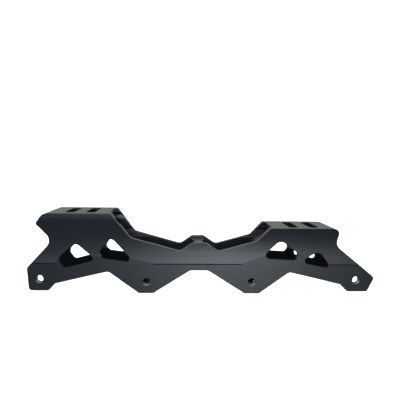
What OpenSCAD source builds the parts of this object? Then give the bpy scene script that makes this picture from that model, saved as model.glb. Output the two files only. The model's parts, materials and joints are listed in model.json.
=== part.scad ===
// Inline skate frame: one milled extrusion that carries four wheels in line,
// with a threaded axle nut and a plain axle bush pressed in at each axle.
// X runs from heel to toe, Y across the wheels, Z up to the boot.
// The origin is on the ground line of the feet, half way along the frame.

/* [Wheels] */
// Diameter of the wheels that run in the frame
wheel_d = 76; // [70:1:76]
// Distance between neighbouring axles
axle_pitch = 77; // [77:0.5:82]
// How far the two end axles sit above the two middle ones
rocker = 1.7; // [0:0.1:3]
// Free room round each wheel under the decks
wheel_room = 1; // [0.5:0.1:2]

/* [Side plates] */
// Clear width between the two side plates
channel_w = 26; // [25.5:0.1:26.4]
// Height where the side plates step back on the inside
pad_z = 22; // [20:0.1:24]
// Thickness of the flat milled lower plates
plate_t = 4; // [3.4:0.1:4.1]
// Height of an axle above the flat of its foot
axle_h = 8.2; // [7.8:0.1:10]
// Length of the flat under each middle axle
foot_l = 10.5; // [8:0.5:14]
// Flat of an end foot, from its axle towards the middle
end_foot_in = 6.7; // [5:0.1:8]
// Flat of the rear foot, from its axle towards the heel
rear_foot_out = 7.4; // [6:0.1:8.4]
// Flat of the front foot, from its axle towards the toe
front_foot_out = 7.9; // [6:0.1:9]
// Upper rear corner of the plates, behind the rearmost axle
rear_corner_x = 9.1; // [8.6:0.1:12]
// Height of that corner above the axle
rear_corner_z = 8.2; // [7:0.1:10]
// Front corner of the plates, ahead of the foremost axle
nose_x = 13.5; // [12.5:0.1:16]
// Height of that corner above the axle
nose_z = 2.1; // [1:0.1:4]
// Inner end of the upright edge beside an end foot, from its axle
ramp_x = 11.4; // [10.5:0.1:13]
// Height of that end above the foot
ramp_z = 5.1; // [4:0.1:6]
// Height of the arch between the middle axles
mid_arch_z = 16.6; // [14:0.1:18.5]
// Width of that arch across its top
mid_arch_w = 13; // [11:0.5:18]
// Height of the arches between a middle and an end axle
side_arch_z = 15.6; // [13:0.1:16.5]
// Distance of a side arch's top from the nearest middle axle
side_arch_x = 27.6; // [25:0.2:30]
// Height of the edge where the flat milling of the lower plates ends
step_z = 21.7; // [20:0.1:22.5]
// Height of the groove under the level parts of that edge
groove_h = 0.8; // [0.5:0.1:1.2]
// Depth of that groove
groove_t = 1.5; // [0.4:0.1:2]

/* [Waist and rails] */
// Width over the hollow sides at their narrowest
waist_w = 34.6; // [34.2:0.1:35]
// Height of the narrowest place
waist_z = 30.7; // [29:0.1:32]
// Clear width between the walls above that step
room_w = 27.2; // [26.8:0.1:27.6]
// Thickness of the hollow walls beside the decks
wall_t = 3; // [2.8:0.1:3.2]
// Height where the lower walls step back to those
ledge_z = 36.2; // [35.8:0.1:36.6]
// Underside of the web between the walls that carries the toe deck
web_z = 43.4; // [42.6:0.1:44]
// Thickness of that web, of which only the roots stay under the heel deck
web_t = 6.6; // [6:0.1:7]
// Lowest corner of the rails, either side of the middle
valley_z = 30.5; // [29.5:0.1:31.5]
// Distance of that corner from the middle
valley_x = 13.9; // [12.5:0.1:16]
// Height of the crest at the middle of the rails
crest_z = 36.8; // [36:0.1:38]
// Length of the crest's flat top
crest_l = 9.6; // [8:0.2:11]
// Slope of the rails towards the decks, in degrees
rail_angle = 15.2; // [13:0.1:17]

/* [Decks] */
// Height of the heel deck
heel_z = 58.2; // [57:0.1:62]
// Height of the toe deck
toe_z = 48.1; // [48:0.1:50]
// Width of the heel deck
deck_w = 41.5; // [40:0.5:44]
// Thickness of the heel deck
deck_t = 3.2; // [2.8:0.1:4]
// How far both decks are cut back between the walls
end_cut = 1.8; // [1:0.1:3]
// Height of the upright lip along the heel deck
lip_h = 5.5; // [4:0.1:7]
// Length of the heel deck between its corners
heel_l = 48; // [46:0.5:50]
// Middle of the heel slots ahead of the middle of the heel deck
heel_slot_shift = 0.8; // [0:0.1:1.5]
// How far the tip of the heel reaches behind the heel deck
heel_tip_x = 5.6; // [4:0.1:7]
// Depth of that tip below the heel deck
heel_tip_z = 7.6; // [7:0.1:9]
// How far the notch below the tip cuts in under the heel deck
heel_notch_x = 6; // [4:0.1:8]
// Depth of that notch below the heel deck
heel_notch_z = 20.1; // [19:0.1:21]
// Length of the toe deck between its corners
toe_l = 51.3; // [50:0.5:52]
// How far the notch at its front cuts in under the toe deck
toe_notch_x = 3.3; // [2:0.1:5]
// Depth of that notch below the toe deck
toe_notch_z = 12.4; // [11.5:0.1:13.5]
// Distance between the heel and the toe mounting slots
mount_pitch = 165; // [163:0.5:167]
// Middle of the mounting slots ahead of the middle of the wheelbase
mount_shift = -5; // [-6:0.5:-4]
// Distance between the two slots of one deck
slot_pitch = 15; // [13:0.5:18]
// Width of a slot
slot_w = 7; // [6:0.1:8.5]
// Length of a slot across the deck
slot_l = 29; // [20:0.5:29]
// Slope of the heel deck's front end, in degrees
heel_angle = 51.8; // [48:0.2:56]
// Slope of the toe deck's rear end, in degrees
toe_angle = 45; // [42:0.2:50]

/* [Bridge] */
// Height of the top of the cross bridge at the middle
bridge_z = 34.6; // [33.5:0.1:35.2]
// Thickness of that bridge
bridge_t = 5; // [4:0.1:7]
// Width of the bridge at its neck
neck_w = 6.2; // [5:0.1:8]
// Width of the bridge where it meets the walls
bridge_w = 12.6; // [11:0.1:14]

/* [Corner radii] */
// Feet
foot_r = 2; // [1:0.1:2.5]
// Arches between the feet
arch_r = 4; // [2:0.1:5]
// Notches under the deck ends
notch_r = 6.5; // [4:0.1:7]
// Valleys of the rails
valley_r = 5; // [3:0.1:6]
// Bends between rails and decks
bend_r = 6; // [3:0.1:7]
// Crest of the rails
crest_r = 3; // [2:0.1:4]
// Outer ends of the plates
nose_r = 3; // [2:0.1:4]
// Rear end of the heel deck
heel_end_r = 6; // [3:0.1:6.5]
// Front end of the toe deck
toe_end_r = 4; // [3:0.1:5]
// Inner corners under the decks
fillet_r = 2.5; // [1:0.1:3]

/* [Axle seats] */
// Hole through the threaded axle nut
thread_d = 5; // [4.8:0.1:5]
// Bore of the axle bush
axle_d = 8.1; // [7.5:0.1:8.5]
// Body of the axle nut
nut_d = 10; // [9:0.1:11]
// Body of the axle bush
bush_d = 12; // [11.5:0.1:12.5]
// Flange of nuts and bushes
flange_d = 14; // [13.4:0.1:15]
// Thickness of the flanges, which space the wheel bearings
flange_t = 0.85; // [0.6:0.05:1]
// Plate left in front of the axle nut
skin_t = 1; // [0.6:0.1:1.4]
// Hole through that plate
sight_d = 5.8; // [5.8:0.1:6.4]
// Depth of the countersinks for the axle's head and tip
sink_t = 1.2; // [0.5:0.1:1.3]
// Play between a nut or bush and its seat, on the radius
seat_play = 0.05; // [0.02:0.01:0.1]

/* [Hidden] */

$fn = 96;
black = [0.14, 0.15, 0.16];
bare = [0.78, 0.78, 0.76];

// Axles and mounting slots, measured from the middle of the wheelbase
ax = [for (i = [-1.5 : 1.5]) i * axle_pitch];
az = [axle_h + rocker, axle_h, axle_h, axle_h + rocker];
heel_c = mount_shift - mount_pitch / 2;
toe_c = mount_shift + mount_pitch / 2;
plate_y = channel_w / 2 + plate_t;
deck_y = deck_w / 2;

// The hollow sides are round about an axis beside the frame, from waist to lip
cove_rise = heel_z - lip_h - waist_z;
cove_in = (deck_w - waist_w) / 2;
cove_r = (cove_rise ^ 2 + cove_in ^ 2) / (2 * cove_in);
cove_y = waist_w / 2 + cove_r;

// Ends of the decks and the slopes that lead from them to the rails
heel_rear = [heel_c - heel_slot_shift - heel_l / 2, heel_z];
heel_front = [heel_c - heel_slot_shift + heel_l / 2, heel_z];
toe_rear = [toe_c - toe_l / 2, toe_z];
toe_front = [toe_c + toe_l / 2, toe_z];
heel_bend = meet([-valley_x, valley_z], 180 - rail_angle, heel_front, -heel_angle);
toe_bend = meet([valley_x, valley_z], rail_angle, toe_rear, toe_angle);

// Side view of the frame: each point is a corner with its radius
outline = rounded([
    [ax[0] - rear_foot_out, rocker, nose_r],
    [ax[0] + end_foot_in, rocker, foot_r],
    [ax[0] + ramp_x, rocker + ramp_z, foot_r],
    [ax[1] - side_arch_x, side_arch_z, arch_r],
    [ax[1] - foot_l / 2, 0, foot_r],
    [ax[1] + foot_l / 2, 0, foot_r],
    [-mid_arch_w / 2, mid_arch_z, arch_r],
    [mid_arch_w / 2, mid_arch_z, arch_r],
    [ax[2] - foot_l / 2, 0, foot_r],
    [ax[2] + foot_l / 2, 0, foot_r],
    [ax[2] + side_arch_x, side_arch_z, arch_r],
    [ax[3] - ramp_x, rocker + ramp_z, foot_r],
    [ax[3] - end_foot_in, rocker, foot_r],
    [ax[3] + front_foot_out, rocker, foot_r],
    [ax[3] + nose_x, az[3] + nose_z, nose_r],
    [toe_front.x - toe_notch_x, toe_z - toe_notch_z, notch_r],
    [toe_front.x, toe_z, toe_end_r],
    [toe_rear.x, toe_z, foot_r],
    [toe_bend.x, toe_bend.y, bend_r],
    [valley_x, valley_z, valley_r],
    [crest_l / 2, crest_z, crest_r],
    [-crest_l / 2, crest_z, crest_r],
    [-valley_x, valley_z, valley_r],
    [heel_bend.x, heel_bend.y, bend_r],
    [heel_front.x, heel_z, foot_r],
    [heel_rear.x, heel_z, heel_end_r],
    [heel_rear.x - heel_tip_x, heel_z - heel_tip_z, foot_r],
    [heel_rear.x + heel_notch_x, heel_z - heel_notch_z, notch_r],
    [ax[0] - rear_corner_x, az[0] + rear_corner_z, nose_r]
]);

// Windows through the side plates: corners from a deck's middle and the axle height, with radii
heel_windows = [
    [[-15.4, 16.2, 4], [-10.1, 9.5, 2.8], [13.2, 15.5, 2.6], [-2.5, 28.6, 4.2]],
    [[14.2, 20.1, 3], [17.6, 16.5, 1.5], [41, 13.6, 2.5], [22.3, 33.4, 3.9]]
];
toe_windows = [
    [[-32.9, 17.3, 2.9], [-7.3, 16.1, 2.3], [-4.3, 20.8, 3.2], [-18.2, 31.1, 4.8]],
    [[-4.4, 14.7, 2.5], [19.9, 9.7, 2], [10.4, 23.4, 4.7]]
];

// Upper edge of the flat milling, from a deck's middle and the step height
heel_edge = [[-17.2, 0], [-13, 2.7], [10, 4.2], [13.5, 4.2], [15.8, 6.5], [36.5, 4], [53.9, 0]];
toe_edge = [[-46.3, 0], [-28.9, 5.9], [-4.7, 7.4], [-0.2, 5], [18.4, 0]];

x_first = min([for (p = outline) p.x]);
x_last = max([for (p = outline) p.x]);
x_mid = (x_first + x_last) / 2;
// How far cuts run past the surfaces that they open, and into the room behind them
past = 5;
root = 1;

// Direction of an angle in the side view
function way(a) = [cos(a), sin(a)];

// Where a line through p at angle a crosses one through q at angle b
function meet(p, a, q, b) =
    p + way(a) * cross(q - p, way(b)) / cross(way(a), way(b));

// Arc of radius r that rounds the corner p between its neighbours q and s
function corner(q, p, s, r) =
    let (u = (q - p) / norm(q - p), v = (s - p) / norm(s - p))
    let (half = acos(u * v) / 2, c = p + (u + v) / norm(u + v) * r / sin(half))
    let (sweep = 180 - 2 * half, turn = sign(cross(-u, v)))
    let (from = p + u * r / tan(half) - c, n = max(2, ceil(sweep / 9)))
    [for (i = [0 : n]) c + spin(from, turn * sweep * i / n)];

// A vector turned by an angle
function spin(v, a) = [v.x * cos(a) - v.y * sin(a), v.x * sin(a) + v.y * cos(a)];

// A point of a corner list without its radius
function flat(p) = [p.x, p.y];

// Outline with every corner of a list rounded to its own radius
function rounded(list) =
    let (n = len(list))
    [for (i = [0 : n - 1])
        each corner(flat(list[(i + n - 1) % n]), flat(list[i]), flat(list[(i + 1) % n]), list[i].z)];

// A side view carried across the frame, between two distances from its middle plane
module across(y0, y1) {
    translate([0, y1, 0])
        rotate([90, 0, 0])
            linear_extrude(y1 - y0)
                children();
}

// A cross section carried along the frame
module along(x0, x1) {
    translate([x0, 0, 0])
        rotate([90, 0, 90])
            linear_extrude(x1 - x0)
                children();
}

// The two round hollows beside the frame, set in or out by a wall
module hollows(r) {
    for (side = [-1, 1])
        translate([side * cove_y, waist_z])
            circle(r, $fn = 360);
}

// Cross section of the raw bar
module bar_section() {
    difference() {
        translate([-deck_y, 0])
            square([deck_w, heel_z]);
        hollows(cove_r);
    }
}

// Cross section of the wheel channel, up to the hollow walls
module channel_section() {
    translate([-channel_w / 2, -past])
        square([channel_w, ledge_z + past]);
    translate([-room_w / 2, pad_z])
        square([room_w, ledge_z - pad_z]);
}

// Cross section of a chamber between the hollow walls, with rounded corners under its top
module chamber_section(floor_z, top_z) {
    lift = min(top_z, heel_z - lip_h) - waist_z;
    reach = min(cove_y - sqrt((cove_r + wall_t) ^ 2 - lift ^ 2), deck_y - wall_t);
    flat_y = reach - fillet_r;
    difference() {
        union() {
            translate([-reach, floor_z])
                square([2 * reach, top_z - fillet_r - floor_z]);
            translate([-flat_y, floor_z])
                square([2 * flat_y, top_z - floor_z]);
            for (side = [-1, 1])
                translate([side * flat_y, top_z - fillet_r])
                    circle(fillet_r);
        }
        hollows(cove_r + wall_t);
    }
}

// Region of the side view that is milled out between the walls: room for the rear wheels
// through the web, and the gap between the two decks
module gap_region() {
    heel_end = heel_front.x - end_cut;
    toe_end = toe_rear.x + end_cut;
    polygon([
        [x_first - past, pad_z], [x_first - past, heel_z - deck_t],
        [heel_end, heel_z - deck_t], [heel_end, heel_z + past],
        [toe_end, heel_z + past], [toe_end, web_z],
        [x_last + past, web_z], [x_last + past, pad_z]
    ]);
}

// Region of the side view that is milled flat, below the step
module milled_region() {
    polygon(concat(
        [[x_first - past, -past], [x_first - past, step_z]],
        [for (p = heel_edge) [heel_c + p.x, step_z + p.y]],
        [for (p = toe_edge) [toe_c + p.x, step_z + p.y]],
        [[x_last + past, step_z], [x_last + past, -past]]));
}

// Region of the side view that is grooved, under the level parts of the step
module groove_region() {
    ends = [
        x_first - past, heel_c + heel_edge[0].x,
        heel_c + heel_edge[len(heel_edge) - 1].x, toe_c + toe_edge[0].x,
        toe_c + toe_edge[len(toe_edge) - 1].x, x_last + past
    ];
    for (i = [0 : 2 : 4])
        translate([ends[i], step_z - groove_h])
            square([ends[i + 1] - ends[i], groove_h]);
}

module windows() {
    for (w = heel_windows)
        polygon(rounded([for (p = w) [heel_c + p.x, axle_h + p.y, p.z]]));
    for (w = toe_windows)
        polygon(rounded([for (p = w) [toe_c + p.x, axle_h + p.y, p.z]]));
}

// Two slots across a deck, for the boot's mounting bolts, between two heights
module slots(c, z0, z1) {
    end_y = (slot_l - slot_w) / 2;
    for (side = [-1, 1])
        translate([c + side * slot_pitch / 2, 0, z0 - root]) {
            for (end = [-1, 1])
                translate([0, end * end_y, 0])
                    cylinder(d = slot_w, h = z1 - z0 + root + past);
            translate([-slot_w / 2, -end_y, 0])
                cube([slot_w, 2 * end_y, z1 - z0 + root + past]);
        }
}

// Room for the wheels, which trims the toe deck and the bridge from below
module wheel_wells() {
    for (i = [0 : 3])
        translate([ax[i], 0, az[i]])
            rotate([90, 0, 0])
                cylinder(d = wheel_d + 2 * wheel_room, h = room_w, center = true, $fn = 180);
}

// Cross bridge between the walls, waisted in plan
module bridge() {
    half = room_w / 2;
    hollow_in = (bridge_w - neck_w) / 2;
    hollow_r = (half ^ 2 + hollow_in ^ 2) / (2 * hollow_in);
    translate([0, 0, bridge_z - bridge_t])
        linear_extrude(bridge_t)
            difference() {
                translate([-bridge_w / 2, -half - root])
                    square([bridge_w, room_w + 2 * root]);
                for (side = [-1, 1])
                    translate([side * (neck_w / 2 + hollow_r), 0])
                        circle(hollow_r, $fn = 180);
            }
}

// A cylinder across the frame at an axle, between two distances from the middle plane
module pin(i, d, y0, y1) {
    translate([ax[i], y1, az[i]])
        rotate([90, 0, 0])
            cylinder(d = d, h = y1 - y0);
}

module chassis() {
    color(black)
        translate([-x_mid, 0, 0])
            difference() {
                union() {
                    difference() {
                        intersection() {
                            along(x_first - past, x_last + past) bar_section();
                            across(-deck_y - past, deck_y + past) polygon(outline);
                        }
                        across(plate_y, deck_y + past) milled_region();
                        across(-deck_y - past, -plate_y) milled_region();
                        across(plate_y - groove_t, plate_y + past) groove_region();
                        across(-plate_y - past, -plate_y + groove_t) groove_region();
                        along(x_first - past, x_last + past) {
                            channel_section();
                            chamber_section(ledge_z, web_z);
                            chamber_section(web_z + web_t, heel_z - deck_t);
                        }
                        across(-room_w / 2, room_w / 2) gap_region();
                        across(-deck_y - past, deck_y + past) windows();
                    }
                    bridge();
                }
                wheel_wells();
                slots(heel_c, heel_z - deck_t, heel_z);
                slots(toe_c, web_z, toe_z);
                for (i = [0 : 3]) {
                    pin(i, nut_d + 2 * seat_play, -plate_y + skin_t, 0);
                    pin(i, sight_d, -plate_y - past, 0);
                    pin(i, bush_d + 2 * seat_play, 0, plate_y + past);
                }
            }
}

// Half section of a flanged sleeve: distance from the axle, then distance along it from the flange's face
module sleeve(i, side, bore_r, body_r, body_l, sink) {
    translate([ax[i] - x_mid, side * (channel_w / 2 - flange_t), az[i]])
        rotate([-side * 90, 0, 0])
            rotate_extrude()
                polygon([
                    [bore_r, 0],
                    [flange_d / 2, 0],
                    [flange_d / 2, flange_t],
                    [body_r, flange_t],
                    [body_r, flange_t + body_l],
                    [bore_r + sink, flange_t + body_l],
                    [bore_r, flange_t + body_l - sink]
                ]);
}

// Threaded nut in the plate on the outside of the foot, behind a skin of the plate
module axle_nut(i) {
    color(bare)
        sleeve(i, -1, thread_d / 2, nut_d / 2, plate_t - skin_t, sink_t / 3);
}

// Plain bush in the plate on the inside of the foot, countersunk for the axle's head
module axle_bush(i) {
    color(bare)
        sleeve(i, 1, axle_d / 2, bush_d / 2, plate_t, sink_t);
}

chassis();
axle_nut(0);  // axle_nut_1
axle_nut(1);  // axle_nut_2
axle_nut(2);  // axle_nut_3
axle_nut(3);  // axle_nut_4
axle_bush(0);  // axle_bush_1
axle_bush(1);  // axle_bush_2
axle_bush(2);  // axle_bush_3
axle_bush(3);  // axle_bush_4
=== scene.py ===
"""Looks of a bare inline skate frame: a black anodised chassis with turned steel axle nuts and bushes."""

import json

import bmesh
import bpy
import numpy as np
from mathutils import Matrix, Vector


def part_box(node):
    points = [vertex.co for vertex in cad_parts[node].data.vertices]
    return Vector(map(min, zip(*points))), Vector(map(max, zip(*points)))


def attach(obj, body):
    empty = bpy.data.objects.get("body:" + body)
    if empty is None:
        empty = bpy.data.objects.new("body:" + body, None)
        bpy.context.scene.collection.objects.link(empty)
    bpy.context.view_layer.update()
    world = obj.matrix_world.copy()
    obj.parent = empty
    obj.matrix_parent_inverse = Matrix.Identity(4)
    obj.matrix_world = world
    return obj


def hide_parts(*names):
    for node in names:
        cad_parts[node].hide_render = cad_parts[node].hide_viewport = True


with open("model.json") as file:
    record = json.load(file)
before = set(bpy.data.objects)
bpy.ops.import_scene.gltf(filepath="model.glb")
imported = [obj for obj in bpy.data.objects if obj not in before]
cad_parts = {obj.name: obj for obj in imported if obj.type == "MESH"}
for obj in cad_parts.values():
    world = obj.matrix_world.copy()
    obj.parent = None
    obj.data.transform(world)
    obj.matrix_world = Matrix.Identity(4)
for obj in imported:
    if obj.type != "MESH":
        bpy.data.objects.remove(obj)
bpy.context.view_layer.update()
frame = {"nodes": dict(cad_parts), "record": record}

bl_info = {
    "name": "Inline skate frame",
    "version": (1, 0, 0),
    "blender": (4, 5, 0),
    "location": "View3D > Sidebar > Skate frame",
    "description": "Finishes a bare inline skate frame and sets it on a white studio floor",
    "category": "Object",
}

MOUNTS = {mount["name"]: mount for mount in frame["record"]["mounts"]}
AXLES = (1, 2, 3, 4)
MM = 0.001

# Angles between faces that count as one flat face, and as a sharp edge
FLAT_ANGLE = np.radians(0.4)
SHARP_ANGLE = np.radians(28)
SLEEVE_SHARP_ANGLE = np.radians(35)

# Points along the axle thread in one pitch, edges along a bush, and steps round each sleeve
THREAD_POINTS = 14
BUSH_EDGE = 0.2 * MM
NUT_STEPS = 96
BUSH_STEPS = 128
# Length over which the thread fades in and out
THREAD_FADE = 0.3 * MM

# Cut walls face the plates' sides by less than this; their dull finish covers this much of the anodised one
CUT_FACING = 0.6
DULL_COVER = 0.8

# The room's light at heights from straight down, 0, to straight up, 1, and its tints
FRONT_LEVELS = (
    (0.0, 0.06), (0.15, 0.145), (0.26, 0.175), (0.36, 0.085), (0.44, 0.17),
    (0.5, 0.34), (0.57, 0.75), (0.7, 0.75), (1.0, 0.12),
)
BACK_LEVELS = (
    (0.0, 0.06), (0.26, 0.22), (0.44, 0.24), (0.5, 0.23),
    (0.56, 0.26), (0.64, 0.4), (0.8, 0.6), (1.0, 0.5),
)
COOL = (0.87, 1.0, 1.34)
NEUTRAL = (1.01, 1.0, 0.99)
WINDOW_TINT = (0.88, 1.0, 1.04, 1.0)
WALL_TINT = (1.0, 0.97, 0.93, 1.0)

# Middle of the window's glow along X, and how far it reaches towards the heel and the toe
WINDOW_X = 0.185
WINDOW_HEELWARD = 0.275
WINDOW_TOEWARD = 0.06

# Paper, the shade painted on it, and that painted shade's place as a share of its foot's
PAPER = (0.9, 0.9, 0.9, 1.0)
PAPER_SHADE = (0.008, 0.008, 0.009, 1.0)
PAPER_GLOW = 0.95
SHADE_PLACE = Vector((1.09, 0.78, 0.0))

# Light overhead
TOP_PLACE = (-0.05, 0.25, 0.75)
TOP_TARGET = (0, 0, 0.05)
TOP_SIZE = (0.9, 0.6)

# Points round the floor and the sheet on it
STAGE_STEPS = 96


class Value:
    """A shader socket that takes part in Python sums: every operator adds one Math node."""

    def __init__(self, finish, socket):
        self.finish = finish
        self.socket = socket

    def _math(self, operation, first, second=None):
        inputs = {0: first} if second is None else {0: first, 1: second}
        return self.finish.node("ShaderNodeMath", {"operation": operation}, inputs)

    def __add__(self, other):
        return self._math("ADD", self, other)

    def __radd__(self, other):
        return self._math("ADD", other, self)

    def __sub__(self, other):
        return self._math("SUBTRACT", self, other)

    def __rsub__(self, other):
        return self._math("SUBTRACT", other, self)

    def __mul__(self, other):
        return self._math("MULTIPLY", self, other)

    def __rmul__(self, other):
        return self._math("MULTIPLY", other, self)

    def __truediv__(self, other):
        return self._math("DIVIDE", self, other)

    def __rtruediv__(self, other):
        return self._math("DIVIDE", other, self)

    def __abs__(self):
        return self._math("ABSOLUTE", self)

    def clamp(self):
        """The value held between 0 and 1."""
        return self.finish.node("ShaderNodeClamp", {}, {"Value": self})


class Finish:
    """A node tree under construction: a material's, or the world's."""

    def __init__(self, tree):
        self.tree = tree

    @classmethod
    def material(cls, name):
        """A new material whose Principled shader is kept as .shader."""
        made = bpy.data.materials.new(name)
        made.use_nodes = True
        finish = cls(made.node_tree)
        finish.made = made
        finish.shader = made.node_tree.nodes["Principled BSDF"]
        return finish

    def node(self, kind, settings, inputs, output=0):
        """One of a node's outputs: its settings are made first, then its sockets' values or links."""
        made = self.tree.nodes.new(kind)
        for name, setting in settings.items():
            if name == "stops":
                self.set_stops(made.color_ramp, setting)
            else:
                setattr(made, name, setting)
        for name, value in inputs.items():
            self.feed(made.inputs[name], value)
        return Value(self, made.outputs[output])

    def set_stops(self, ramp, stops):
        """Ramp stops as (position, colour) pairs."""
        while len(ramp.elements) < len(stops):
            ramp.elements.new(1.0)
        for element, (position, colour) in zip(ramp.elements, stops):
            element.position = position
            element.color = colour

    def feed(self, socket, value):
        """A link from a Value, or a constant set on the socket itself."""
        if isinstance(value, Value):
            self.tree.links.new(value.socket, socket)
        else:
            socket.default_value = value

    def set(self, **sockets):
        """Feeds the shader's sockets, named with _ for each space."""
        for name, value in sockets.items():
            self.feed(self.shader.inputs[name.replace("_", " ")], value)

    def place(self):
        """The point on the piece, in metres."""
        return self.node("ShaderNodeTexCoord", {}, {}, "Object")

    def stretched(self, place, scale):
        """The point with each axis scaled."""
        return self.node("ShaderNodeMapping", {}, {"Vector": place, "Scale": scale})

    def noise(self, place, scale, detail=2.0):
        """Soft noise from 0 to 1, with so many lumps to the metre."""
        return self.node("ShaderNodeTexNoise", {}, {"Vector": place, "Scale": scale, "Detail": detail})

    def axes(self, place):
        """The three coordinates of a point."""
        split = self.node("ShaderNodeSeparateXYZ", {}, {0: place})
        return [Value(self, split.socket.node.outputs[k]) for k in range(3)]

    def blend(self, factor, first, second):
        """A colour between two others."""
        return self.node("ShaderNodeMix", {"data_type": "RGBA"}, {0: factor, 6: first, 7: second}, 2)

    def added(self, colour, factor, light):
        """A colour with so much of a light's colour on top, past white too."""
        settings = {"data_type": "RGBA", "blend_type": "ADD", "clamp_factor": False}
        return self.node("ShaderNodeMix", settings, {0: factor, 6: colour, 7: light}, 2)

    def bump(self, height, distance, strength):
        """A normal bent by a height field of so many metres."""
        inputs = {"Height": height, "Distance": distance, "Strength": strength}
        return self.node("ShaderNodeBump", {}, inputs)

    def cover(self, factor, **sockets):
        """Lays a second Principled shader over the first by a factor from 0 to 1."""
        inputs = {name.replace("_", " "): value for name, value in sockets.items()}
        upper = self.node("ShaderNodeBsdfPrincipled", {}, inputs)
        lower = Value(self, self.shader.outputs[0])
        mixed = self.node("ShaderNodeMixShader", {}, {0: factor, 1: lower, 2: upper})
        self.feed(self.tree.nodes["Material Output"].inputs["Surface"], mixed)


def shade(colour, factor):
    """A colour made lighter or darker, with full alpha."""
    return [channel * factor for channel in colour[:3]] + [1.0]


def room_stops(levels, tint):
    """Levels of light from straight down, 0, to straight up, 1, as ramp stops of one tint."""
    return [(at, shade(tint, level)) for at, level in levels]


class SKATE_PG_finish(bpy.types.PropertyGroup):
    """Finishes of the frame's pieces."""

    anodised_colour: bpy.props.FloatVectorProperty(
        name="Anodised colour", description="Colour of the chassis", subtype="COLOR",
        default=(0.0064, 0.007, 0.0078), min=0.0, max=1.0)
    anodised_roughness: bpy.props.FloatProperty(
        name="Anodised roughness", description="Roughness of the blasted and anodised chassis",
        default=0.3, min=0.0, max=1.0)
    milled_height: bpy.props.FloatProperty(
        name="Milled height",
        description="Height up to which the cut walls and the channel show the cutter's dull finish",
        default=27.0 * MM, min=0.0, unit="LENGTH", precision=4)
    inside_width: bpy.props.FloatProperty(
        name="Inside width", description="Width of the channel between the plates, with the same dull finish",
        default=30.0 * MM, min=0.0, unit="LENGTH", precision=4)
    edge_break: bpy.props.FloatProperty(
        name="Edge break", description="Width of the deburred edges of the chassis",
        default=0.12 * MM, min=0.0, max=1.0 * MM, unit="LENGTH", precision=5)
    steel_colour: bpy.props.FloatVectorProperty(
        name="Steel colour", description="Colour of the axle nuts and bushes", subtype="COLOR",
        default=(0.38, 0.37, 0.36), min=0.0, max=1.0)
    thread_pitch: bpy.props.FloatProperty(
        name="Thread pitch", description="Advance of the axle thread in one turn",
        default=1.0 * MM, min=0.5 * MM, max=2.0 * MM, unit="LENGTH", precision=5)
    thread_depth: bpy.props.FloatProperty(
        name="Thread depth", description="Depth of the axle thread",
        default=0.42 * MM, min=0.1 * MM, max=0.6 * MM, unit="LENGTH", precision=5)
    nut_body: bpy.props.FloatProperty(
        name="Nut body", description="Diameter of an axle nut in the plate",
        default=10.0 * MM, min=8.0 * MM, max=12.0 * MM, unit="LENGTH", precision=5)
    bush_body: bpy.props.FloatProperty(
        name="Bush body", description="Diameter of an axle bush in the plate",
        default=12.0 * MM, min=10.0 * MM, max=13.0 * MM, unit="LENGTH", precision=5)
    flange: bpy.props.FloatProperty(
        name="Flange", description="Thickness of the flange of an axle nut or bush",
        default=0.85 * MM, min=0.3 * MM, max=1.5 * MM, unit="LENGTH", precision=5)
    sleeve_chamfer: bpy.props.FloatProperty(
        name="Sleeve chamfer", description="Broken edges of the axle nuts and bushes",
        default=0.15 * MM, min=0.02 * MM, max=0.3 * MM, unit="LENGTH", precision=5)


class SKATE_PG_stage(bpy.types.PropertyGroup):
    """Floor, lights and camera."""

    lens: bpy.props.FloatProperty(
        name="Lens", description="Focal length of the camera", default=39.0, min=10.0, unit="CAMERA")
    shift: bpy.props.FloatVectorProperty(
        name="Lens shift", description="Shift of the picture, in frame widths", size=2,
        default=(0.0225, -0.0779))
    camera_place: bpy.props.FloatVectorProperty(
        name="Camera place", description="Where the camera stands", subtype="TRANSLATION",
        default=(-0.01599, -0.33073, 0.0968))
    camera_turn: bpy.props.FloatVectorProperty(
        name="Camera turn", description="Yaw towards the toe, pitch down and roll of the camera",
        subtype="EULER", default=tuple(np.radians((1.3525, 1.1236, 0.5898))))
    floor_radius: bpy.props.FloatProperty(
        name="Floor radius", description="Where the floor sweeps up into the wall",
        default=1.6, min=0.5, unit="LENGTH")
    floor_bend: bpy.props.FloatProperty(
        name="Floor bend", description="Radius of the bend between floor and wall",
        default=0.5, min=0.1, unit="LENGTH")
    wall_height: bpy.props.FloatProperty(
        name="Wall height", description="Height of the wall round the floor",
        default=2.4, min=0.5, unit="LENGTH")
    foot_shade: bpy.props.FloatProperty(
        name="Foot shade", description="Reach of the soft shade on the floor at each far foot that stands on it",
        default=7.0 * MM, min=1.0 * MM, unit="LENGTH")
    top_power: bpy.props.FloatProperty(
        name="Top light", description="Power of the soft light overhead", default=5.0, min=0.0, unit="POWER")
    window_glow: bpy.props.FloatProperty(
        name="Window glow", description="Brightness of the window in front", default=4.45, min=0.0)
    ceiling_glow: bpy.props.FloatProperty(
        name="Ceiling glow", description="Brightness of the ceiling in front", default=1.3, min=0.0)
    wall_glow: bpy.props.FloatProperty(
        name="Wall glow", description="Brightness of the wall behind", default=0.12, min=0.0)


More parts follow.
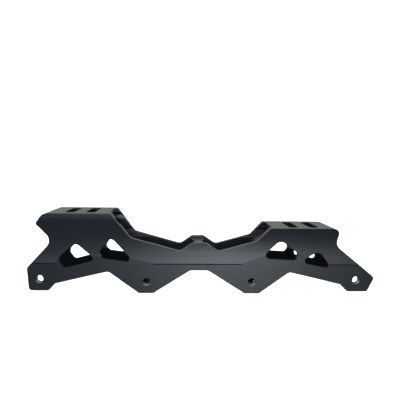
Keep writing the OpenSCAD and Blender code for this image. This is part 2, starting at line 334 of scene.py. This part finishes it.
def anodised(finish_values):
    """Blasted and anodised aluminium: black with fine grain, streaks along the bar and soft patches.

    Low down, the walls that the cutter left and the channel between the plates are duller.
    """
    colour = finish_values.anodised_colour
    f = Finish.material("anodised_black")
    place = f.place()
    patches = f.noise(place, 28.0, 3.0)
    streaks = f.noise(f.stretched(place, (12.0, 900.0, 900.0)), 1.0)
    grain = f.noise(place, 5200.0)
    tone = (patches * 0.6 + streaks * 0.4).clamp()
    across, height = f.axes(place)[1:]
    facing = f.axes(f.node("ShaderNodeNewGeometry", {}, {}, "Normal"))[1]
    cut = ((CUT_FACING - abs(facing)) * 8.0).clamp()
    inside = ((finish_values.inside_width / 2 - abs(across)) / MM).clamp()
    dull = (cut + inside).clamp() * ((finish_values.milled_height - height) / MM).clamp()
    rough = finish_values.anodised_roughness - 0.06 + patches * 0.06 + grain * 0.06
    base = f.blend(tone, shade(colour, 0.82), shade(colour, 1.2))
    f.set(
        Base_Color=base,
        Roughness=rough + dull * 0.66,
        IOR=1.77,
        Normal=f.bump(grain * 0.8 + streaks * 0.2, 0.012 * MM, 0.6),
    )
    f.cover(dull * DULL_COVER, Base_Color=base, Roughness=0.86 + grain * 0.08, Specular_IOR_Level=0.05)
    return f.made


def turned_steel(finish_values):
    """Bare steel off the lathe: bright, with fine rings round the axle and a faint warm haze."""
    colour = finish_values.steel_colour
    f = Finish.material("turned_steel")
    place = f.place()
    haze = f.noise(place, 260.0)
    scratches = f.noise(f.stretched(place, (900.0, 9000.0, 900.0)), 1.0)
    f.set(
        Base_Color=f.blend(haze, shade(colour, 0.85), shade(colour, 1.12)),
        Metallic=1.0,
        Roughness=0.2 + scratches * 0.14,
        Normal=f.bump(scratches, 0.01 * MM, 0.5),
    )
    return f.made


def closed_grid(name, points, material, slot, *nodes):
    """A piece from a grid of points that closes on itself both ways, set in place of CAD nodes."""
    rows, columns = points.shape[:2]
    index = np.arange(rows * columns).reshape(rows, columns)
    ahead, beside = np.roll(index, -1, 0), np.roll(index, -1, 1)
    corner = np.roll(ahead, -1, 1)
    faces = np.stack([index, ahead, corner, beside], -1).reshape(-1, 4)
    a, b, c = (points.reshape(-1, 3)[faces[:, k]] for k in range(3))
    if np.einsum("ij,ij->i", a, np.cross(b - a, c - a)).sum() < 0:
        faces = faces[:, ::-1]
    mesh = bpy.data.meshes.new(name)
    mesh.from_pydata(points.reshape(-1, 3), [], faces)
    mesh.polygons.foreach_set("use_smooth", np.ones(len(faces), bool))
    mesh.set_sharp_from_angle(angle=SLEEVE_SHARP_ANGLE)
    mesh.materials.append(material)
    piece = bpy.data.objects.new(name, mesh)
    bpy.context.scene.collection.objects.link(piece)
    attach(piece, "root")
    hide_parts(*nodes)


def chamfered(corners, cut):
    """A closed outline whose every corner is cut off at the same distance along both edges."""
    back, ahead = np.roll(corners, 1, 0) - corners, np.roll(corners, -1, 0) - corners
    back /= np.linalg.norm(back, axis=1, keepdims=True)
    ahead /= np.linalg.norm(ahead, axis=1, keepdims=True)
    return np.stack([corners + back * cut, corners + ahead * cut], 1).reshape(-1, 2)


def refined(outline, step):
    """A closed outline with points added so that none of its edges is longer than the step."""
    ends = np.roll(outline, -1, 0)
    counts = np.maximum(1, np.ceil(np.linalg.norm(ends - outline, axis=1) / step)).astype(int)
    which = np.repeat(np.arange(len(outline)), counts)
    first = np.repeat(np.cumsum(counts) - counts, counts)
    part = (np.arange(counts.sum()) - first) / np.repeat(counts, counts)
    return outline[which] + (ends - outline)[which] * part[:, None]


def sleeve(axle, side, outline, steps, groove):
    """A turned sleeve: the outline's radius and depth carried round the axle, a groove added to the radius.

    x = axle x + (r + g) cos a, y = side d, z = axle z + (r + g) sin a, with g = groove(r, d, a).
    """
    angle = np.linspace(0.0, 2 * np.pi, steps, endpoint=False)[None, :]
    depth = outline[:, 1:2]
    radius = outline[:, :1] + groove(outline[:, :1], depth, angle)
    across = np.broadcast_to(side * depth, radius.shape)
    return np.stack([axle[0] + radius * np.cos(angle), across, axle[2] + radius * np.sin(angle)], -1)


def sleeve_section(node, mount, body, flange):
    """A sleeve's half section from its CAD node and mount, as (radius, depth) corners."""
    low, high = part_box(node)
    near, far = sorted((abs(low.y), abs(high.y)))
    rim, bore = (high.x - low.x) / 2, mount["dims"]["r_mm"] * MM
    sink = far - near - mount["dims"]["length_mm"] * MM
    step = near + flange
    return np.array([
        (bore, near), (rim, near), (rim, step), (body / 2, step),
        (body / 2, far), (bore + sink, far), (bore, far - sink),
    ])


def joined_copy(node, name, material):
    """A CAD node's mesh as one skin: doubled points merged and the triangles of each flat face joined."""
    mesh = frame["nodes"][node].data.copy()
    mesh.name = name
    skin = bmesh.new()
    skin.from_mesh(mesh)
    bmesh.ops.remove_doubles(skin, verts=skin.verts, dist=0.001 * MM)
    bmesh.ops.dissolve_limit(
        skin, angle_limit=FLAT_ANGLE, verts=skin.verts, edges=skin.edges, delimit={"NORMAL"})
    skin.to_mesh(mesh)
    skin.free()
    for layer in ("custom_normal", "sharp_edge", "sharp_face"):
        if layer in mesh.attributes:
            mesh.attributes.remove(mesh.attributes[layer])
    mesh.polygons.foreach_set("use_smooth", np.ones(len(mesh.polygons), bool))
    mesh.set_sharp_from_angle(angle=SHARP_ANGLE)
    mesh.materials.clear()
    mesh.materials.append(material)
    piece = bpy.data.objects.new(name, mesh)
    bpy.context.scene.collection.objects.link(piece)
    return piece


class SKATE_OT_chassis(bpy.types.Operator):
    """Breaks the chassis' edges and gives it its anodised finish"""

    bl_idname = "skate.chassis"
    bl_label = "Finish the chassis"

    def execute(self, context):
        values = context.scene.skate_finish
        chassis = joined_copy("chassis", "milled_chassis", anodised(values))
        bevel = chassis.modifiers.new("Deburred edges", "BEVEL")
        bevel.width = values.edge_break
        bevel.segments = 2
        bevel.limit_method = "ANGLE"
        bevel.angle_limit = SHARP_ANGLE
        bevel.use_clamp_overlap = False
        bevel.harden_normals = True
        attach(chassis, "root")
        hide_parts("chassis")
        return {"FINISHED"}


class SKATE_OT_axle_nuts(bpy.types.Operator):
    """Makes the threaded axle nuts"""

    bl_idname = "skate.axle_nuts"
    bl_label = "Make the axle nuts"

    def execute(self, context):
        values = context.scene.skate_finish
        steel = bpy.data.materials.get("turned_steel") or turned_steel(values)
        for n in AXLES:
            mount = MOUNTS[f"axle_thread_{n}"]
            corners = sleeve_section(f"axle_nut_{n}", mount, values.nut_body, values.flange)
            (bore, near), (bore, far) = corners[0], corners[-1]
            outline = refined(chamfered(corners, values.sleeve_chamfer), values.thread_pitch / THREAD_POINTS)

            def groove(radius, depth, angle):
                """Thread: a 60 degree ridge that goes once round while it moves one pitch along."""
                turn = (depth / values.thread_pitch - angle / (2 * np.pi)) % 1.0
                ridge = np.clip(2.6 * np.abs(turn - 0.5) - 0.15, 0.0, 1.0)
                fade_in = np.clip((depth - near) / THREAD_FADE, 0, 1)
                fade_out = np.clip((far - depth) / THREAD_FADE, 0, 1)
                cut = values.thread_depth * ridge * fade_in * fade_out
                return np.where(radius < bore + 0.01 * MM, cut, 0.0)

            points = sleeve(mount["pos_m"], -1.0, outline, NUT_STEPS, groove)
            closed_grid(f"threaded_nut_{n}", points, steel, "insert", f"axle_nut_{n}")
        return {"FINISHED"}


class SKATE_OT_axle_bushes(bpy.types.Operator):
    """Makes the plain axle bushes"""

    bl_idname = "skate.axle_bushes"
    bl_label = "Make the axle bushes"

    def execute(self, context):
        values = context.scene.skate_finish
        steel = bpy.data.materials.get("turned_steel") or turned_steel(values)
        for n in AXLES:
            mount = MOUNTS[f"axle_bore_{n}"]
            corners = sleeve_section(f"axle_bush_{n}", mount, values.bush_body, values.flange)
            outline = refined(chamfered(corners, values.sleeve_chamfer), BUSH_EDGE)

            def plain(radius, depth, angle):
                """No groove: the wall stays round."""
                return np.zeros(np.broadcast(radius, angle).shape)

            points = sleeve(mount["pos_m"], 1.0, outline, BUSH_STEPS, plain)
            closed_grid(f"plain_bush_{n}", points, steel, "insert", f"axle_bush_{n}")
        return {"FINISHED"}


def sweep(radius, height, bend):
    """Studio floor: a disc whose rim bends up through a quarter circle into a round wall, turned about Z."""
    arc = np.linspace(0.0, np.pi / 2, 17)
    r = np.concatenate([[0.0, radius / 3], radius + bend * np.sin(arc), [radius + bend]])
    z = np.concatenate([[0.0, 0.0], bend * (1 - np.cos(arc)), [height]])
    angle = np.linspace(0.0, 2 * np.pi, STAGE_STEPS, endpoint=False)
    x, y = r[:, None] * np.cos(angle), r[:, None] * np.sin(angle)
    return np.stack([x, y, np.broadcast_to(z[:, None], x.shape)], -1)


def oblong(length, width, height):
    """A level sheet: rings that grow from a point to the rounded oblong |x/length|^5 + |y/width|^5 = 1."""
    angle = np.linspace(0.0, 2 * np.pi, STAGE_STEPS, endpoint=False)
    rim = np.stack([np.cos(angle), np.sin(angle)], -1)
    rim = np.sign(rim) * np.abs(rim) ** 0.4 * (length, width)
    rings = np.linspace(0.0, 1.0, 3)[:, None, None] * rim
    return np.concatenate([rings, np.full((*rings.shape[:2], 1), height)], -1)


class SKATE_OT_stage(bpy.types.Operator):
    """Makes the white floor, the soft lights and the camera"""

    bl_idname = "skate.stage"
    bl_label = "Set the stage"

    def execute(self, context):
        values = context.scene.skate_stage
        self.floor(values)
        self.sky(values)
        self.lamp("top_light", TOP_PLACE, TOP_TARGET, TOP_SIZE, values.top_power)
        self.camera(context.scene, values)
        context.scene.view_settings.view_transform = "Standard"
        return {"FINISHED"}

    def floor(self, values):
        """White paper that only the camera sees, and between the plates a dark sheet of painted shade that it
        doesn't see.
        """
        points = sweep(values.floor_radius, values.wall_height, values.floor_bend)
        floor = self.sheet("studio_floor", points, self.paper(values))
        floor.visible_glossy = False
        floor.visible_diffuse = False
        floor.visible_shadow = False
        # Painted shade: a near-black sheet where the floor lies in shade under the frame, hidden from the camera
        # but seen by reflections and bounced light
        f = Finish.material("floor_shade")
        shadow = f.noise(f.place(), 60.0)
        f.set(Base_Color=f.blend(shadow, (0.01, 0.01, 0.011, 1.0), (0.016, 0.016, 0.017, 1.0)), Roughness=0.95)
        length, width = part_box("chassis")[1].x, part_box("axle_bush_1")[1].y
        shaded = self.sheet("floor_shade", oblong(length, width, -0.2 * MM), f.made)
        shaded.visible_camera = False

    def sheet(self, name, points, material):
        """A stage piece from rings of points about Z, its faces upwards."""
        rows, columns = points.shape[:2]
        index = np.arange(rows * columns).reshape(rows, columns)
        beside = np.roll(index, -1, 1)
        faces = np.stack([index[:-1], beside[:-1], beside[1:], index[1:]], -1).reshape(-1, 4)
        mesh = bpy.data.meshes.new(name)
        mesh.from_pydata(points.reshape(-1, 3), [], faces)
        mesh.polygons.foreach_set("use_smooth", np.ones(len(faces), bool))
        mesh.materials.append(material)
        piece = bpy.data.objects.new(name, mesh)
        bpy.context.scene.collection.objects.link(piece)
        return piece

    def paper(self, values):
        """White paper that glows, but for a round of painted shade at each far foot that stands on it."""
        f = Finish.material("white_paper")
        x, y = f.axes(f.place())[:2]

        def shade_at(n):
            """Strength of the painted shade: full at the far foot of an axle, and fading with the square of the
            distance.
            """
            foot = Vector(MOUNTS[f"axle_bore_{n}"]["pos_m"]) * SHADE_PLACE
            along, across = x - foot.x, y - foot.y
            return (1.5 - (along * along + across * across) / values.foot_shade ** 2).clamp()

        # Painted shade: the paper's colour and glow darkened round the far feet of the middle axles
        dark = sum(shade_at(n) for n in AXLES[1:3]).clamp()
        white = f.blend(dark, PAPER, PAPER_SHADE)
        f.set(Base_Color=white, Roughness=0.9, Emission_Color=white, Emission_Strength=PAPER_GLOW)
        return f.made

    def sky(self, values):
        """Soft room light: a window's glow low in front, a ceiling above it and a pale wall behind."""
        world = bpy.data.worlds.new("room_light")
        world.use_nodes = True
        bpy.context.scene.world = world
        f = Finish(world.node_tree)
        x, y, z = f.axes(f.node("ShaderNodeTexCoord", {}, {}, "Generated"))
        front, back = (y * -3.0).clamp(), (y * 3.0).clamp()
        height = z * 0.5 + 0.5
        cool = f.node("ShaderNodeValToRGB", {"stops": room_stops(FRONT_LEVELS, COOL)}, {"Fac": height})
        neutral = f.node("ShaderNodeValToRGB", {"stops": room_stops(BACK_LEVELS, NEUTRAL)}, {"Fac": height})
        corner = ((x - 0.31) * 9.0).clamp() * 0.8
        room = f.blend(front, neutral, f.blend(corner, cool, shade(COOL, 0.03)))
        heelward = ((WINDOW_X - x) / WINDOW_HEELWARD).clamp()
        toeward = ((x - WINDOW_X) / WINDOW_TOEWARD).clamp()
        across = (1.0 - heelward * heelward - toeward * toeward).clamp()
        window = across * (z * 3.2 + 1.19).clamp() * (1.0 - z * 6.5).clamp() * values.window_glow
        below = (z * -12.0).clamp() * 0.6
        ceiling = (z * 4.0 - 0.7).clamp() * (3.2 - z * 4.0).clamp() * values.ceiling_glow
        wall = back * (z * 8.0 + 0.4).clamp() * (1.0 - z * 1.6).clamp() * values.wall_glow
        lit = f.added(room, (front + back * below) * window + front * ceiling, WINDOW_TINT)
        lit = f.added(lit, wall, WALL_TINT)
        f.feed(world.node_tree.nodes["Background"].inputs["Color"], lit)

    def lamp(self, name, place, target, size, power):
        """A rectangular soft light that looks at a point."""
        data = bpy.data.lights.new(name, "AREA")
        data.shape = "RECTANGLE"
        data.size, data.size_y = size
        data.energy = power
        lamp = bpy.data.objects.new(name, data)
        lamp.location = place
        lamp.rotation_euler = (Vector(target) - Vector(place)).to_track_quat("-Z", "Y").to_euler()
        bpy.context.scene.collection.objects.link(lamp)

    def camera(self, scene, values):
        """Camera beside the outer plate: turned about Z, then tipped down, then rolled about its own line."""
        data = bpy.data.cameras.new("camera")
        data.sensor_width = 36.0
        data.lens = values.lens
        data.shift_x, data.shift_y = values.shift
        data.clip_start = 0.01
        camera = bpy.data.objects.new("camera", data)
        yaw, pitch, roll = values.camera_turn
        ahead = Vector((np.sin(yaw), np.cos(yaw), 0.0))
        right = Vector((np.cos(yaw), -np.sin(yaw), 0.0))
        up = Vector((0.0, 0.0, 1.0))
        look = ahead * np.cos(pitch) - up * np.sin(pitch)
        rise = up * np.cos(pitch) + ahead * np.sin(pitch)
        side = right * np.cos(roll) + rise * np.sin(roll)
        top = rise * np.cos(roll) - right * np.sin(roll)
        turn = Matrix((side, top, -look)).transposed().to_4x4()
        camera.matrix_world = Matrix.Translation(values.camera_place) @ turn
        scene.collection.objects.link(camera)
        scene.camera = camera


class SKATE_PT_panel(bpy.types.Panel):
    """Lists the steps that finish the frame"""

    bl_idname = "SKATE_PT_panel"
    bl_label = "Skate frame"
    bl_space_type = "VIEW_3D"
    bl_region_type = "UI"
    bl_category = "Skate frame"

    def draw(self, context):
        for step in STEPS:
            self.layout.operator(step.bl_idname)
        for group in (context.scene.skate_finish, context.scene.skate_stage):
            for name in group.__annotations__:
                self.layout.prop(group, name)


STEPS = (SKATE_OT_chassis, SKATE_OT_axle_nuts, SKATE_OT_axle_bushes, SKATE_OT_stage)
CLASSES = (SKATE_PG_finish, SKATE_PG_stage, *STEPS, SKATE_PT_panel)


def register():
    for each in CLASSES:
        bpy.utils.register_class(each)
    bpy.types.Scene.skate_finish = bpy.props.PointerProperty(type=SKATE_PG_finish)
    bpy.types.Scene.skate_stage = bpy.props.PointerProperty(type=SKATE_PG_stage)


def unregister():
    del bpy.types.Scene.skate_stage
    del bpy.types.Scene.skate_finish
    for each in reversed(CLASSES):
        bpy.utils.unregister_class(each)


def main():
    register()
    bpy.ops.skate.chassis()
    bpy.ops.skate.axle_nuts()
    bpy.ops.skate.axle_bushes()
    bpy.ops.skate.stage()


if __name__ == "__main__":
    main()
